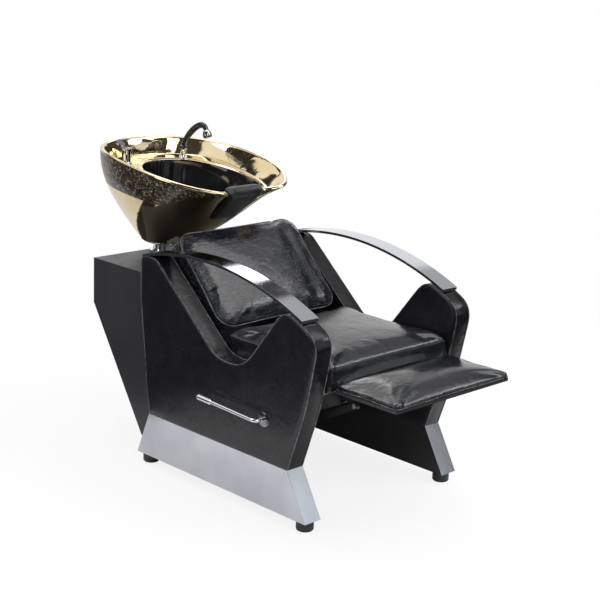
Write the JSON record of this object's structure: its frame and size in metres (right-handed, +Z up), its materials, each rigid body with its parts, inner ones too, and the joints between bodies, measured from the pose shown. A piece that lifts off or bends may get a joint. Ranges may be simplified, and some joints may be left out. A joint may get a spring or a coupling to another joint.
{
  "type": "salon shampoo chair",
  "caption": "Upholstered salon backwash chair with arched metal arms, fold-out leg rest, side lever and a tilting gold and black basin with mixer and hand shower on a rear cabinet.",
  "frame": {"origin": "middle of the whole outline, on the floor", "axes": "+Z up, the sitter faces -Y, +X is the sitter's left"},
  "size_m": [0.681, 1.418, 0.9885],
  "materials": {
    "rubber": "matte black rubber",
    "zinc_hardware": "zinc plated",
    "timber": "plain plywood",
    "polished_steel": "polished stainless sheet",
    "arm_steel": "satin polished flat bar",
    "panel_vinyl": "black vinyl with light grey piping",
    "seat_vinyl": "black vinyl, soft gloss",
    "black_steel": "black powder coat",
    "lever_plastic": "black nylon",
    "lever_chrome": "bright chrome",
    "cabinet_board": "black laminated board",
    "pipe_plastic": "grey waste pipe",
    "brass": "plain brass",
    "stand_chrome": "bright chrome",
    "stand_grey": "grey paint",
    "bowl_ceramic": "gold mirror glaze, black basin, black speckled band",
    "tap_chrome": "bright chrome",
    "tap_black": "gloss black"
  },
  "bodies": {
    "root": {"foot_pads": "rubber", "foot_screws": "zinc_hardware", "base_rail_right": "timber", "base_rail_left": "timber", "skirt_right": "polished_steel", "skirt_left": "polished_steel", "side_panel_right": "panel_vinyl", "side_panel_left": "panel_vinyl", "armrest_right": "arm_steel", "armrest_left": "arm_steel", "front_crossbar": "black_steel", "rear_crossbar": "black_steel", "back_crossbars": "black_steel", "crossbar_bolts": "zinc_hardware", "seat_board": "timber", "seat_cushion": "seat_vinyl", "backrest_board": "timber", "backrest_cushion": "seat_vinyl", "legrest_hinge_lugs": "black_steel", "legrest_hinge_pins": "zinc_hardware", "lever_bush_plate": "lever_plastic", "cabinet_side_right": "cabinet_board", "cabinet_side_left": "cabinet_board", "cabinet_spacers": "black_steel", "cabinet_top": "cabinet_board", "cabinet_front": "cabinet_board", "cabinet_back": "cabinet_board", "cabinet_floor": "cabinet_board", "service_battens": "timber", "service_panel": "cabinet_board", "service_panel_screws": "zinc_hardware", "waste_pipe": "pipe_plastic", "water_inlets": "brass", "bowl_post": "stand_chrome", "post_bolts": "zinc_hardware", "post_gussets": "stand_grey", "bowl_buffer": "stand_grey", "tilt_pins": "zinc_hardware"},
    "legrest": {"legrest_arms": "black_steel", "legrest_board": "timber", "legrest_pad": "seat_vinyl"},
    "lever": {"lever_shaft": "zinc_hardware", "lever_rod": "lever_chrome", "lever_grip": "lever_chrome", "lever_circlip": "zinc_hardware"},
    "pull_link": {"pull_link": "black_steel", "link_pin": "zinc_hardware"},
    "bowl": {"bowl_mount_plate": "zinc_hardware", "bowl_mount_bolts": "zinc_hardware", "bowl": "bowl_ceramic", "neck_rest": "rubber", "drain_waste": "tap_chrome", "drain_strainer": "tap_chrome", "mixer_body": "tap_chrome", "handset_holder": "tap_chrome"},
    "mixer_cap": {"mixer_cartridge": "tap_chrome"},
    "mixer_lever": {"mixer_lever": "tap_chrome"},
    "handset": {"handset": "tap_black", "handset_head": "tap_chrome"}
  },
  "joints": [
    {"name": "lever_turn", "type": "hinge", "parent": "root", "child": "lever", "pos_m": [0.0205, -0.299, 0.287], "axis": [1, 0, 0], "range_deg": [0, 85]},
    {"name": "legrest_fold", "type": "hinge", "parent": "root", "child": "legrest", "pos_m": [0.0205, -0.469, 0.376], "axis": [1, 0, 0], "range_deg": [0, 85]},
    {"name": "link_swing", "type": "hinge", "parent": "lever", "child": "pull_link", "pos_m": [0.0205, -0.34503, 0.26746], "axis": [1, 0, 0], "range_deg": [-85, 0]},
    {"name": "bowl_tilt", "type": "hinge", "parent": "root", "child": "bowl", "pos_m": [0.0205, 0.548, 0.617], "axis": [1, 0, 0], "range_deg": [-12, 0]},
    {"name": "mixer_swivel", "type": "hinge", "parent": "bowl", "child": "mixer_cap", "pos_m": [-0.1015, 0.583, 0.858], "axis": [0, 0, 1], "range_deg": [-45, 45]},
    {"name": "mixer_lift", "type": "hinge", "parent": "mixer_cap", "child": "mixer_lever", "pos_m": [-0.1015, 0.583, 0.901], "axis": [1, 0, 0], "range_deg": [0, 25]},
    {"name": "handset_pull", "type": "slide", "parent": "bowl", "child": "handset", "axis": [0, 0, 1], "range_m": [0, 0.06]}
  ],
  "couplings": [
    {"joint": "legrest_fold", "follows": "lever_turn", "ratio": 1},
    {"joint": "link_swing", "follows": "lever_turn", "ratio": -1}
  ]
}
